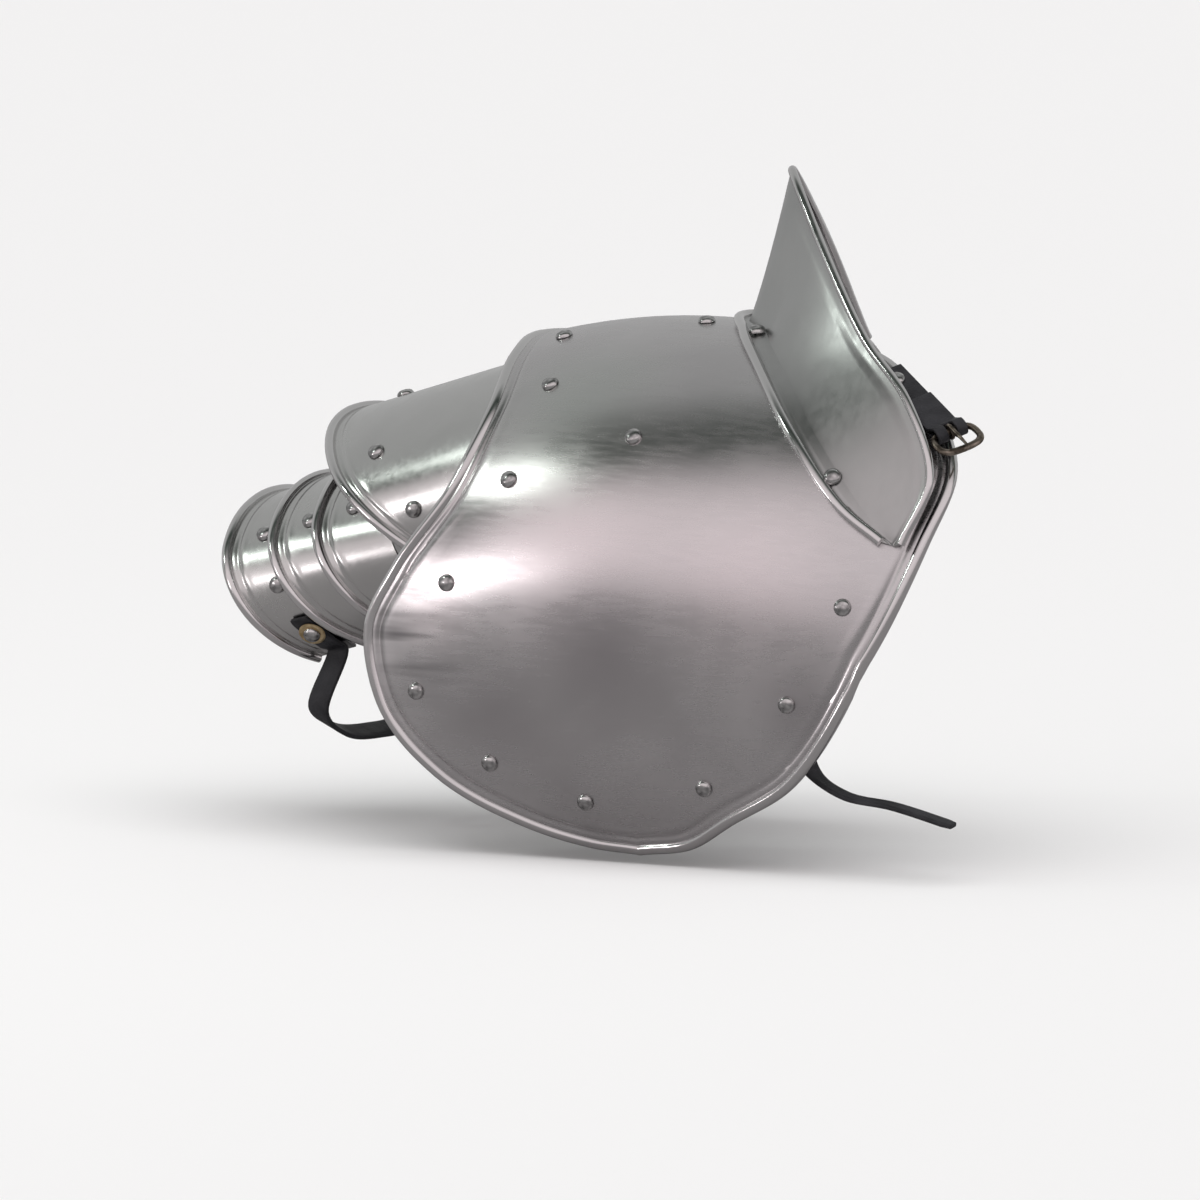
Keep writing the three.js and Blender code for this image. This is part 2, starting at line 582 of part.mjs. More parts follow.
function addMainLeathers() {
  const stack = PLATE_THICKNESS + INSIDE_GAP + LEATHER_THICKNESS + GAP;
  return MAIN_LEATHER_RIVETS.map(([line, x, degrees]) => {
    const head = onDome(x, degrees, PLATE_THICKNESS);
    const hole = addRivet(`main_rivet_${line}`, head.point, head.normal, stack);
    const halfTurn = THREE.MathUtils.radToDeg(LEATHER_WIDTH / 2 / DOME.depth);
    const surface = (s, v) => onDome(
      THREE.MathUtils.lerp(x - MAIN_LEATHER_REACH, x + LEATHER_END, v),
      THREE.MathUtils.lerp(degrees - halfTurn, degrees + halfTurn, s),
    );
    const leather = shellSolid(surface, -INSIDE_GAP - LEATHER_THICKNESS, -INSIDE_GAP, 2, 3);
    addPiece(`main_leather_${line}`, toGeometry(drilled(leather, [hole])), LEATHER);
    return hole;
  });
}

const hauteHoles = addHauteRivets();
const mainHoles = [...hauteHoles, ...addMainLeathers(), addNeckStrap(), addBodyStrap()];
addPiece('main_plate', mainPlate(mainHoles), STEEL);
addPiece('haute_piece', hautePiece(hauteHoles), STEEL);
const armStrapHoles = addArmStrap();
for (const lame of LAMES) {
  addLame(lame, lame.name === 'lame_4' ? armStrapHoles : []);
}

export default model;
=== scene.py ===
"""Visual model of a plate-armour pauldron, built round its CAD frame (metres, +Z up, -Y to the front)."""
import math

import bpy
import numpy as np
from mathutils import Matrix, Vector


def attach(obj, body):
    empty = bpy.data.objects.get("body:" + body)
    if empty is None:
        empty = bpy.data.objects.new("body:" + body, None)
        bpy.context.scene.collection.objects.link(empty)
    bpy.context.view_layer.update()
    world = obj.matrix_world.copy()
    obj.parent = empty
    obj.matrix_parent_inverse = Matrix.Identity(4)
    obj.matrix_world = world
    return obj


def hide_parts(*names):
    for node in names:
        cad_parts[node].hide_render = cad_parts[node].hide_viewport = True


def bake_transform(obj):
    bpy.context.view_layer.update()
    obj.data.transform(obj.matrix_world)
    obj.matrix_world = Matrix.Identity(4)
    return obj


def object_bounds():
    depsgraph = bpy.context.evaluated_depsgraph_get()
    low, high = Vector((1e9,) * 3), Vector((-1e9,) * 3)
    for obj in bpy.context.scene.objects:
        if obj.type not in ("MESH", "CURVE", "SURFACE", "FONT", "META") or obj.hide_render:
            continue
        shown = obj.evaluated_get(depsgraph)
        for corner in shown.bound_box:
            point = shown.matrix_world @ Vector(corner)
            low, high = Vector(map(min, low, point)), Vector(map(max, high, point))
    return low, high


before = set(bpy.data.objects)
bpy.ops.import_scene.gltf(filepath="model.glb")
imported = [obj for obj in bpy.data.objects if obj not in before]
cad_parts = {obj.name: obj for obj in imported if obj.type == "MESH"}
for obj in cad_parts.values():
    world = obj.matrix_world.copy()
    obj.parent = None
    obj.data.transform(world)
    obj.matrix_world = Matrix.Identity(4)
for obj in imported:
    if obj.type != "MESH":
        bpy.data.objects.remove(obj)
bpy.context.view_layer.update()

MM = 0.001

# ---- Sizes, in millimetres, the same as the CAD model's --------------------------------------------------------
PLATE = 1.5
LAME = 1.2
INSIDE_GAP = 1.7
GAP = 0.3
LEATHER = 1.6
MAIN_ROLL = 2.8
SMALL_ROLL = 2.0
HEAD_RADIUS = 4.0
HEAD_HEIGHT = 2.4
DOME = dict(depth=112, centre=10, reach=270, upper=120, lower=160, peak=30, to_arm=0.0016, to_neck=0.001)
ARM_EDGE = [
    (46, 133.2), (20, 132.2), (-10, 127.4), (-50, 115.5), (-77, 100), (-82, 88), (-68, 77), (-42, 61), (-36, 43),
    (-46, 21), (-56, 0), (-47, -20), (-44, -45), (-56, -72), (-46, -95), (-14, -109), (10, -111.5),
]
NECK_EDGE = [
    (46, 133.2), (72, 130.6), (97, 123.6), (132, 113), (158, 98), (177, 80), (188, 61), (192, 43), (177, 28),
    (141, 13), (102, 0), (90, -22), (80, -48), (74, -74), (58, -96), (32, -108.5), (10, -111.5),
]
HAUTE_FOOT = [(82, -27), (62, -14), (51, 1), (66, 14), (91, 29), (119, 44.5), (150, 58.5), (171, 63.5)]
HAUTE_TOP = [
    (86, 48, -8), (80, 25, 36), (76, 0, 71), (103, -22, 43), (141, -46, 2), (172, -60, -24), (190, -71, -56),
    (182, -82, -85),
]
HAUTE_FLANGE = [(0, 9), (0.2, 13), (0.32, 6), (0.42, 12.5), (0.8, 13), (1, 7)]
HAUTE_FLANGE_SHARE = 0.45
HAUTE_FLANGE_ROWS = 1 / 3
HAUTE_SEAT = PLATE + 2 * GAP
LAMES = {
    "lame_1": dict(centre=(-101, -92.4), slope=17, half_width=73.5, crest=57, lead=35.7, sweep=10, length=84,
                   corner=0, reach=112, setback=24),
    "lame_2": dict(centre=(-136.6, -117.2), slope=14, half_width=63, crest=46.8, lead=0, sweep=31, length=40,
                   corner=6, reach=140, setback=19),
    "lame_3": dict(centre=(-161.8, -123.5), slope=14, half_width=60.6, crest=44.6, lead=0, sweep=31, length=36,
                   corner=8, reach=142, setback=19),
    "lame_4": dict(centre=(-188, -130), slope=14, half_width=58.2, crest=42.4, lead=0, sweep=24, length=36,
                   corner=8, reach=146, setback=19),
}
TAPER = 0.05
SWEEP_START = 60
LEATHER_LINES = {"front": 56, "crest": 0, "rear": -56}
LEATHER_WIDTH = 14
MAIN_LEATHER_RIVETS = {"front": (-10, 37), "crest": (-27, 15), "rear": (-18, -37)}
HAUTE_RIVETS = {"rear": (0.2, 0.57), "crest": (0.42, 0.57), "front": (0.79, 0.66)}
BODY_STRAP_RIVET = (133, 100)


# ---- Curves and surfaces ---------------------------------------------------------------------------------------
def smoothstep(x, low, high):
    k = np.clip((x - low) / (high - low), 0, 1)
    return k * k * (3 - 2 * k)


def catmull(points, t, closed=False):
    """Centripetal Catmull-Rom curve through points, read at each t from 0 to 1."""
    pts = np.array(points, float)
    count = len(pts)
    out = []
    for value in np.atleast_1d(t):
        p = value * (count if closed else count - 1)
        i = int(math.floor(p))
        if not closed and i >= count - 1:
            i = count - 2
        w = p - i
        if closed:
            quad = [pts[(i + k) % count] for k in (-1, 0, 1, 2)]
        else:
            first = pts[i - 1] if i > 0 else 2 * pts[0] - pts[1]
            last = pts[i + 2] if i + 2 < count else 2 * pts[-1] - pts[-2]
            quad = [first, pts[i], pts[i + 1], last]
        step = [max(float(np.sum((quad[k + 1] - quad[k]) ** 2)) ** 0.25, 1e-4) for k in range(3)]
        x0, x1, x2, x3 = quad
        m1 = ((x1 - x0) / step[0] - (x2 - x0) / (step[0] + step[1]) + (x2 - x1) / step[1]) * step[1]
        m2 = ((x2 - x1) / step[1] - (x3 - x1) / (step[1] + step[2]) + (x3 - x2) / step[2]) * step[1]
        a, b = -3 * x1 + 3 * x2 - 2 * m1 - m2, 2 * x1 - 2 * x2 + m1 + m2
        out.append(x1 + m1 * w + a * w * w + b * w ** 3)
    return np.array(out)


def unit(v):
    return v / np.maximum(np.linalg.norm(v, axis=-1, keepdims=True), 1e-12)


def dome_point(x, degrees):
    x, turn = np.asarray(x, float), np.radians(degrees)
    depth = DOME["depth"] * np.sqrt(1 - ((x - DOME["centre"]) / DOME["reach"]) ** 2)
    fall = np.where(x < DOME["peak"], DOME["to_arm"], DOME["to_neck"])
    crown = DOME["to_arm"] * DOME["peak"] ** 2 - fall * (x - DOME["peak"]) ** 2
    side = np.where(np.cos(turn) < 0, DOME["lower"], DOME["upper"])
    return np.stack([x, -depth * np.sin(turn), crown - DOME["upper"] + side * np.cos(turn)], axis=-1)


def normal_of(point, a, b, step_a, step_b):
    along_a = point(a + step_a, b) - point(a - step_a, b)
    along_b = point(a, b + step_b) - point(a, b - step_b)
    return unit(np.cross(along_a, along_b))


def on_dome(x, degrees, offset=0.0):
    normal = normal_of(dome_point, np.asarray(x, float), np.asarray(degrees, float), 0.5, -0.5)
    return dome_point(x, degrees) + normal * np.asarray(offset)[..., None], normal


def haute_flange(s):
    places, widths = zip(*HAUTE_FLANGE)
    i = int(np.clip(np.searchsorted(places, s), 1, len(places) - 1))
    k = float(smoothstep(s, places[i - 1], places[i]))
    return widths[i - 1] + (widths[i] - widths[i - 1]) * k


def haute_section(s, shares):
    """Points across the haute-piece at place s along its foot, at each share from foot to free edge."""
    foot = catmull(HAUTE_FOOT, s)[0]
    end = catmull(HAUTE_TOP, s)[0]
    seated = lambda reach: on_dome(foot[0] + reach, foot[1], HAUTE_SEAT)[0]
    flange = min(haute_flange(s), HAUTE_FLANGE_SHARE * float(np.linalg.norm(seated(0) - end)))
    a, b = seated(flange), seated(flange * 1.35)
    rows = []
    for w in shares:
        if w < HAUTE_FLANGE_ROWS:
            rows.append(seated(flange * w / HAUTE_FLANGE_ROWS))
        else:
            k = (w - HAUTE_FLANGE_ROWS) / (1 - HAUTE_FLANGE_ROWS)
            rows.append((1 - k) ** 2 * a + 2 * k * (1 - k) * b + k * k * end)
    return np.array(rows)


def free_edge(lame, degrees):
    past = np.maximum(0, np.abs(degrees) - SWEEP_START) / (lame["reach"] - SWEEP_START)
    return lame["lead"] * np.cos(np.radians(degrees)) - lame["sweep"] * past ** 1.6


def hidden_edge(lame, degrees):
    return -lame["length"] - lame["corner"] * smoothstep(np.abs(degrees), 75, 105)


def lame_axes(lame):
    slope = math.radians(lame["slope"])
    centre = np.array([lame["centre"][0], 0, lame["centre"][1]], float)
    return centre, np.array([-math.cos(slope), 0, -math.sin(slope)]), np.array([-math.sin(slope), 0, math.cos(slope)])


def lame_point(lame, degrees, u):
    centre, along, crest = lame_axes(lame)
    degrees, u = np.broadcast_arrays(np.asarray(degrees, float), np.asarray(u, float))
    turn = np.radians(degrees)
    taper = TAPER * u if lame["lead"] == 0 else 0 * u
    side = -(lame["half_width"] + taper) * np.sin(turn)
    point = centre + u[..., None] * along + ((lame["crest"] + taper) * np.cos(turn))[..., None] * crest
    return point + side[..., None] * np.array([0, 1, 0])


def on_lame(lame, degrees, u, offset=0.0):
    degrees, u = np.asarray(degrees, float), np.asarray(u, float)
    normal = normal_of(lambda a, b: lame_point(lame, a, b), degrees, u, 0.5, -0.5)
    return lame_point(lame, degrees, u) + normal * np.asarray(offset)[..., None], normal


# ---- Meshes ----------------------------------------------------------------------------------------------------
def new_mesh(name, parts):
    """One object from (vertices in mm, faces) parts, smooth shaded."""
    vertices, faces = [], []
    for points, polygons in parts:
        base = len(vertices)
        vertices.extend(tuple(float(c) * MM for c in p) for p in np.asarray(points).reshape(-1, 3))
        faces.extend(tuple(base + i for i in polygon) for polygon in polygons)
    data = bpy.data.meshes.new(name)
    data.from_pydata(vertices, [], faces)
    data.validate()
    data.shade_smooth()
    data.set_sharp_from_angle(angle=math.radians(40))
    obj = bpy.data.objects.new(name, data)
    bpy.context.scene.collection.objects.link(obj)
    return obj


def sheet(outer, inner):
    """A closed sheet between two grids of points with the same shape."""
    rows, columns = outer.shape[:2]
    at = lambda side, i, j: side * rows * columns + i * columns + j
    faces = []
    for i in range(rows - 1):
        for j in range(columns - 1):
            faces.append((at(0, i, j), at(0, i + 1, j), at(0, i + 1, j + 1), at(0, i, j + 1)))
            faces.append((at(1, i, j), at(1, i, j + 1), at(1, i + 1, j + 1), at(1, i + 1, j)))
        faces.append((at(0, i, 0), at(1, i, 0), at(1, i + 1, 0), at(0, i + 1, 0)))
        far = columns - 1
        faces.append((at(0, i, far), at(0, i + 1, far), at(1, i + 1, far), at(1, i, far)))
    for j in range(columns - 1):
        faces.append((at(0, 0, j), at(0, 0, j + 1), at(1, 0, j + 1), at(1, 0, j)))
        faces.append((at(0, rows - 1, j), at(1, rows - 1, j), at(1, rows - 1, j + 1), at(0, rows - 1, j + 1)))
    return np.concatenate([outer.reshape(-1, 3), inner.reshape(-1, 3)]), faces


def tube(points, ups, wide, high, sides=14, closed=False):
    """A tube along points, wide across each up vector and high along it; wide and high may vary along it."""
    points = np.asarray(points, float)
    count = len(points)
    if closed:
        ahead = unit(np.roll(points, -1, axis=0) - np.roll(points, 1, axis=0))
    else:
        ahead = unit(np.gradient(points, axis=0))
    across = unit(np.cross(ahead, ups))
    upright = unit(np.cross(across, ahead))
    wide, high = np.broadcast_to(wide, count), np.broadcast_to(high, count)
    rings = []
    for k in range(sides):
        turn = 2 * math.pi * k / sides
        rings.append(points + across * (wide * math.cos(turn))[:, None] + upright * (high * math.sin(turn))[:, None])
    grid = np.stack(rings, axis=1)
    faces = []
    for i in range(count if closed else count - 1):
        nxt = (i + 1) % count
        for k in range(sides):
            j = (k + 1) % sides
            faces.append((i * sides + k, i * sides + j, nxt * sides + j, nxt * sides + k))
    if not closed:
        faces.append(tuple(range(sides))[::-1])
        faces.append(tuple((count - 1) * sides + k for k in range(sides)))
    return grid.reshape(-1, 3), faces


def lathe(profile, sides=28):
    """A turned shape about +Z from (radius, height) pairs."""
    rows = np.array([[(r * math.cos(a), r * math.sin(a), z) for a in np.linspace(0, 2 * math.pi, sides, False)]
                     for r, z in profile])
    faces = []
    for i in range(len(profile) - 1):
        for k in range(sides):
            j = (k + 1) % sides
            faces.append((i * sides + k, i * sides + j, (i + 1) * sides + j, (i + 1) * sides + k))
    faces.append(tuple(range(sides))[::-1])
    faces.append(tuple((len(profile) - 1) * sides + k for k in range(sides)))
    return rows.reshape(-1, 3), faces


def finish_piece(obj, body, material, replaced=()):
    obj.data.materials.append(material)
    if replaced:
        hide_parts(*replaced)
    if body:
        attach(obj, body)
    return obj


def place(obj, point, normal):
    turn = Vector((0, 0, 1)).rotation_difference(Vector(normal))
    obj.matrix_world = Matrix.Translation(Vector(point) * MM) @ turn.to_matrix().to_4x4()
    return obj


# ---- Materials -------------------------------------------------------------------------------------------------
class Nodes:
    """A short way to write a shader: add nodes, join them, set sockets."""

    def __init__(self, name):
        self.material = bpy.data.materials.new(name)
        self.material.use_nodes = True
        self.tree = self.material.node_tree
        self.shader = self.tree.nodes["Principled BSDF"]
        self.place = self.add("ShaderNodeTexCoord").outputs["Object"]

    def add(self, kind, **values):
        node = self.tree.nodes.new(kind)
        for key, value in values.items():
            setattr(node, key, value)
        return node

    def join(self, source, target):
        self.tree.links.new(source, target)

    def scaled(self, scale):
        node = self.add("ShaderNodeMapping")
        node.inputs["Scale"].default_value = scale
        self.join(self.place, node.inputs["Vector"])
        return node.outputs["Vector"]

    def noise(self, vector, scale, detail=3.0, distortion=0.0):
        node = self.add("ShaderNodeTexNoise")
        node.inputs["Scale"].default_value = scale
        node.inputs["Detail"].default_value = detail
        node.inputs["Distortion"].default_value = distortion
        self.join(vector, node.inputs["Vector"])
        return node.outputs["Fac"]

    def ramp(self, source, stops):
        node = self.add("ShaderNodeValToRGB")
        while len(node.color_ramp.elements) < len(stops):
            node.color_ramp.elements.new(0.5)
        for element, (position, color) in zip(node.color_ramp.elements, stops):
            element.position = position
            element.color = (*color, 1) if isinstance(color, tuple) else (color, color, color, 1)
        self.join(source, node.inputs["Fac"])
        return node.outputs["Color"]

    def mix(self, kind, factor, a, b):
        node = self.add("ShaderNodeMix", data_type="RGBA", blend_type=kind)
        for value, socket in ((factor, node.inputs[0]), (a, node.inputs[6]), (b, node.inputs[7])):
            if isinstance(value, bpy.types.NodeSocket):
                self.join(value, socket)
            elif isinstance(value, tuple):
                socket.default_value = (*value, 1)
            else:
                socket.default_value = value
        return node.outputs[2]

    def glow(self, centre, radius):
        """1 at a place on the object, given in millimetres, falling smoothly to 0 at radius."""
        far = self.add("ShaderNodeVectorMath", operation="DISTANCE")
        self.join(self.place, far.inputs[0])
        far.inputs[1].default_value = tuple(c * MM for c in centre)
        node = self.add("ShaderNodeMapRange", interpolation_type="SMOOTHSTEP")
        node.inputs["From Min"].default_value = radius * MM
        node.inputs["From Max"].default_value = 0.0
        self.join(far.outputs["Value"], node.inputs["Value"])
        return node.outputs["Result"]

    def times(self, a, b):
        node = self.add("ShaderNodeMath", operation="MULTIPLY")
        for value, socket in ((a, node.inputs[0]), (b, node.inputs[1])):
            if isinstance(value, bpy.types.NodeSocket):
                self.join(value, socket)
            else:
                socket.default_value = value
        return node.outputs[0]

    def bump(self, height, distance, strength=1.0, after=None):
        node = self.add("ShaderNodeBump")
        node.inputs["Distance"].default_value = distance
        node.inputs["Strength"].default_value = strength
        self.join(height, node.inputs["Height"])
        if after is not None:
            self.join(after, node.inputs["Normal"])
        return node.outputs["Normal"]


def steel(name, tint, low, high, brush, patches=(), streaks=None):
    """Polished plate: cloudy polish, fine brushing, thin scratches, and patches of painted sheen, highlight and
    reflection in the base colour, some of them partly dulled polish.

    patches are (centre in mm, radius in mm, colour, amount); streaks are (centre, radius, direction scales)."""
    n = Nodes(name)
    n.shader.inputs["Metallic"].default_value = 1.0
    clouds = n.noise(n.scaled((1, 1, 1)), 15.0, 4.0, 0.6)
    color = n.ramp(clouds, [(0.3, tuple(0.86 * c for c in tint)), (0.7, tint)])
    rough = n.ramp(clouds, [(0.3, low), (0.7, high)])
    lines = n.noise(n.scaled(brush), 60.0, 5.0)
    rough = n.mix("LINEAR_LIGHT", 0.1, rough, n.ramp(lines, [(0.35, 0.35), (0.65, 0.65)]))
    scratches = n.ramp(n.noise(n.scaled((9, 2.5, 14)), 34.0, 1.0, 3.0), [(0.498, 0.0), (0.5, 1.0), (0.502, 0.0)])
    # Each patch mixes a colour into the base colour round a fixed point: painted sheen, highlights and reflections,
    # partly dulled polish.
    for centre, radius, shade, amount in patches:
        color = n.mix("MIX", n.times(n.glow(centre, radius), amount), color, shade)
    if streaks:
        centre, radius, scales = streaks
        marks = n.ramp(n.noise(n.scaled(scales), 8.0, 2.0), [(0.42, 0.0), (0.62, 1.0)])
        color = n.mix("MIX", n.times(n.glow(centre, radius), marks), color, (0.16, 0.155, 0.16))
    rough = n.mix("ADD", 0.03, rough, scratches)
    n.join(color, n.shader.inputs["Base Color"])
    n.join(rough, n.shader.inputs["Roughness"])
    fine = n.bump(lines, 0.00003, 0.3)
    dents = n.bump(n.noise(n.scaled((1, 1, 1)), 22.0, 2.0), 0.0006, 0.3, fine)
    n.join(n.bump(scratches, 0.00002, 0.2, dents), n.shader.inputs["Normal"])
    return n.material


def plain_metal(name, tint, dark, rough):
    """Small fittings: darker in patches, with fine scratches."""
    n = Nodes(name)
    n.shader.inputs["Metallic"].default_value = 1.0
    spots = n.noise(n.scaled((1, 1, 1)), 260.0, 4.0)
    n.join(n.ramp(spots, [(0.38, dark), (0.62, tint)]), n.shader.inputs["Base Color"])
    n.join(n.ramp(spots, [(0.35, rough + 0.15), (0.65, rough)]), n.shader.inputs["Roughness"])
    n.join(n.bump(n.noise(n.scaled((1, 1, 1)), 500.0, 3.0), 0.00005, 0.5), n.shader.inputs["Normal"])
    return n.material


def leather(name, tint, rough):
    """Black leather: fine grain, creases and slightly paler worn places."""
    n = Nodes(name)
    n.shader.inputs["Specular IOR Level"].default_value = 0.25
    wear = n.noise(n.scaled((1, 1, 1)), 70.0, 5.0)
    n.join(n.ramp(wear, [(0.35, tint), (0.75, tuple(2.2 * c + 0.01 for c in tint))]), n.shader.inputs["Base Color"])
    n.join(n.ramp(wear, [(0.3, rough), (0.7, rough + 0.18)]), n.shader.inputs["Roughness"])
    cells = n.add("ShaderNodeTexVoronoi", feature="SMOOTH_F1")
    cells.inputs["Scale"].default_value = 900.0
    n.join(n.place, cells.inputs["Vector"])
    grain = n.bump(cells.outputs["Distance"], 0.00025, 0.6)
    n.join(n.bump(n.noise(n.scaled((1, 1, 1)), 190.0, 4.0), 0.0004, 0.4, grain), n.shader.inputs["Normal"])
    return n.material


# Patch colours: a painted warm sheen, a painted greenish reflection, and a darker grey that is partly dulled polish
# and partly painted darker reflection.
WARM_SHEEN, GREEN_REFLECTION, DULL_AND_DARK_REFLECTION = (0.86, 0.79, 0.805), (0.56, 0.6, 0.565), (0.45, 0.43, 0.44)


def spot(x, degrees):
    return tuple(on_dome(x, degrees, PLATE)[0])


# Main plate patches: painted warm sheen at two places, a painted near-white highlight at (-45, 86), darker grey at
# three places (partly dulled polish, partly painted darker reflection) and a painted greenish reflection at (10, 45).
PLATE_STEEL = steel("plate_steel", (0.68, 0.665, 0.67), 0.22, 0.33, (1.0, 5.0, 8.0), [
    (spot(20, 70), 85, WARM_SHEEN, 0.8),
    (spot(110, 78), 70, WARM_SHEEN, 0.55),
    (spot(-45, 86), 34, (0.95, 0.89, 0.9), 0.85),
    (spot(45, 96), 48, DULL_AND_DARK_REFLECTION, 0.75),
    (spot(-15, 106), 40, DULL_AND_DARK_REFLECTION, 0.45),
    (spot(140, 100), 30, DULL_AND_DARK_REFLECTION, 0.6),
    (spot(10, 45), 60, GREEN_REFLECTION, 0.6),
], (spot(-58, 92), 40, (1.2, 1.2, 14)))
HAUTE_STEEL = steel("haute_steel", (0.5, 0.505, 0.5), 0.27, 0.37, (5.0, 5.0, 1.0))
LAME_STEEL = steel("lame_steel", (0.68, 0.68, 0.67), 0.17, 0.27, (6.0, 1.0, 6.0))
RIM_STEEL = steel("rim_steel", (0.76, 0.75, 0.75), 0.1, 0.17, (4.0, 4.0, 4.0))
RIVET_STEEL = plain_metal("rivet_steel", (0.66, 0.655, 0.65), (0.26, 0.26, 0.26), 0.14)
BRASS = plain_metal("washer_brass", (0.84, 0.66, 0.4), (0.5, 0.37, 0.2), 0.28)
BRONZE = plain_metal("buckle_bronze", (0.36, 0.31, 0.26), (0.09, 0.075, 0.06), 0.3)
STRAP_LEATHER = leather("strap_leather", (0.012, 0.012, 0.014), 0.42)
INNER_LEATHER = leather("internal_leather", (0.02, 0.017, 0.015), 0.55)

# ---- Main plate ------------------------------------------------------------------------------------------------
EDGE_STEPS = [0, 1.2, 2.4, 3.4, 4.2, 5.0, 5.6, 6.2, 6.8, 7.6, 8.6, 10, 12, 15]
EDGE_ZONE = EDGE_STEPS[-1]


def sunk_line(distance, place, depth, width=1.3):
    return -depth * np.exp(-((distance - place) / width) ** 2)


def build_main_plate():
    rows = 240
    s = (1 - np.cos(np.pi * np.linspace(0, 1, rows))) / 2
    arm, neck = catmull(ARM_EDGE, s), catmull(NECK_EDGE, s)
    start, end = on_dome(arm[:, 0], arm[:, 1])[0], on_dome(neck[:, 0], neck[:, 1])[0]
    length = np.linalg.norm(end - start, axis=1)
    row = unit(end - start)
    across = {}
    for key, side in (("arm", start), ("neck", end)):
        run = unit(np.gradient(side, axis=0))
        sine = np.sqrt(np.clip(1 - np.sum(run * row, axis=1) ** 2, 0.02, 1))
        across[key] = np.minimum(EDGE_ZONE / sine, 0.36 * length)
    steps = np.array(EDGE_STEPS) / EDGE_ZONE
    middle = np.linspace(0, 1, 44)[1:-1]
    outline = np.concatenate([start, end])
    outer, inner = [], []
    for i in range(rows):
        near = across["arm"][i] / max(length[i], 1e-6)
        far = 1 - across["neck"][i] / max(length[i], 1e-6)
        v = np.concatenate([steps * near, near + (far - near) * middle, 1 - steps[::-1] * (1 - far)])
        x = arm[i, 0] + (neck[i, 0] - arm[i, 0]) * v
        t = arm[i, 1] + (neck[i, 1] - arm[i, 1]) * v
        edge = on_dome(x, t)[0][:, None] - outline
        gap = np.sqrt(np.min(np.sum(edge * edge, axis=2), axis=1))
        lift = sunk_line(gap, 6.2, 0.9) + sunk_line(gap, 9.8, -0.25, 1.6)
        outer.append(on_dome(x, t, PLATE + lift)[0])
        inner.append(on_dome(x, t, lift)[0])
    plate = new_mesh("main_plate_visual", [sheet(np.array(outer), np.array(inner))])
    finish_piece(plate, "main_plate", PLATE_STEEL, ["main_plate"])
    around = np.concatenate([arm[:-1], neck[:0:-1]])
    points, normals = on_dome(around[:, 0], around[:, 1], PLATE / 2)
    nick = np.exp(-(((around[:, 0] - 164) / 2.2) ** 2)) * (around[:, 1] > 70) * (around[:, 1] < 110)
    radius = MAIN_ROLL * (1 - 0.22 * nick)
    rim = new_mesh("main_rim", [tube(points, normals, radius, radius, 16, closed=True)])
    finish_piece(rim, "main_plate", RIM_STEEL)


# ---- Haute-piece -----------------------------------------------------------------------------------------------
def build_haute_piece():
    rows = 170
    flange_shares = np.linspace(0, HAUTE_FLANGE_ROWS, 12, endpoint=False)
    rise_shares = np.linspace(HAUTE_FLANGE_ROWS, 1, 40)
    shares = np.concatenate([flange_shares, rise_shares])
    grid = np.array([haute_section(s, shares) for s in np.linspace(0, 1, rows)])
    normals = unit(np.cross(np.gradient(grid, axis=0), np.gradient(grid, axis=1)))
    from_top = np.linalg.norm(grid - grid[:, -1:, :], axis=2)
    from_foot = np.linalg.norm(grid - grid[:, :1, :], axis=2)
    lift = sunk_line(from_top, 5.0, 0.5, 1.2) + sunk_line(from_foot, 5.2, 0.35, 1.0) * (from_foot < 9)
    outer = grid + normals * (PLATE + lift)[..., None]
    inner = grid + normals * lift[..., None]
    plate = new_mesh("haute_piece_visual", [sheet(outer, inner)])
    finish_piece(plate, "main_plate", HAUTE_STEEL, ["haute_piece"])
    foot = grid[:, 0] + normals[:, 0] * SMALL_ROLL
    top = grid[:, -1] + normals[:, -1] * (PLATE / 2)
    rolls = new_mesh("haute_rolls", [
        tube(foot, normals[:, 0], SMALL_ROLL + 0.5, SMALL_ROLL, 14),
        tube(top, normals[:, -1], SMALL_ROLL, SMALL_ROLL, 14),
    ])
    finish_piece(rolls, "main_plate", RIM_STEEL)


# ---- Lames -----------------------------------------------------------------------------------------------------
def build_lame(name):
    lame = LAMES[name]
    degrees = np.linspace(-lame["reach"], lame["reach"], 150)
    free, hidden = free_edge(lame, degrees), hidden_edge(lame, degrees)
    back = np.concatenate([np.linspace(1, 16 / 40, 14, endpoint=False), np.linspace(16, 0, 18) / 40])
    span = (free - hidden)[:, None]
    u = free[:, None] - np.where(back * 40 <= 16, back * 40, 16 + (back * 40 - 16) / 24 * (span - 16))
    distance = free[:, None] - u
    lift = sunk_line(distance, 5.6, 0.45, 1.1) + sunk_line(distance, 8.4, -0.15, 1.2)
    wide = np.broadcast_to(degrees[:, None], u.shape)
    outer, inner = on_lame(lame, wide, u, LAME + lift)[0], on_lame(lame, wide, u, lift)[0]
    plate = new_mesh(f"{name}_visual", [sheet(outer, inner)])
    finish_piece(plate, name, LAME_STEEL, [name])
    points, normals = on_lame(lame, degrees, free, SMALL_ROLL)
    bead = new_mesh(f"{name}_bead", [tube(points, normals, SMALL_ROLL + 0.2, SMALL_ROLL, 14)])
    finish_piece(bead, name, RIM_STEEL)


# ---- Rivets ----------------------------------------------------------------------------------------------------
CREST_CLEARANCE = 1.2  # mm past the CAD rivet's place, so that the head clears the bead when its lame is raised
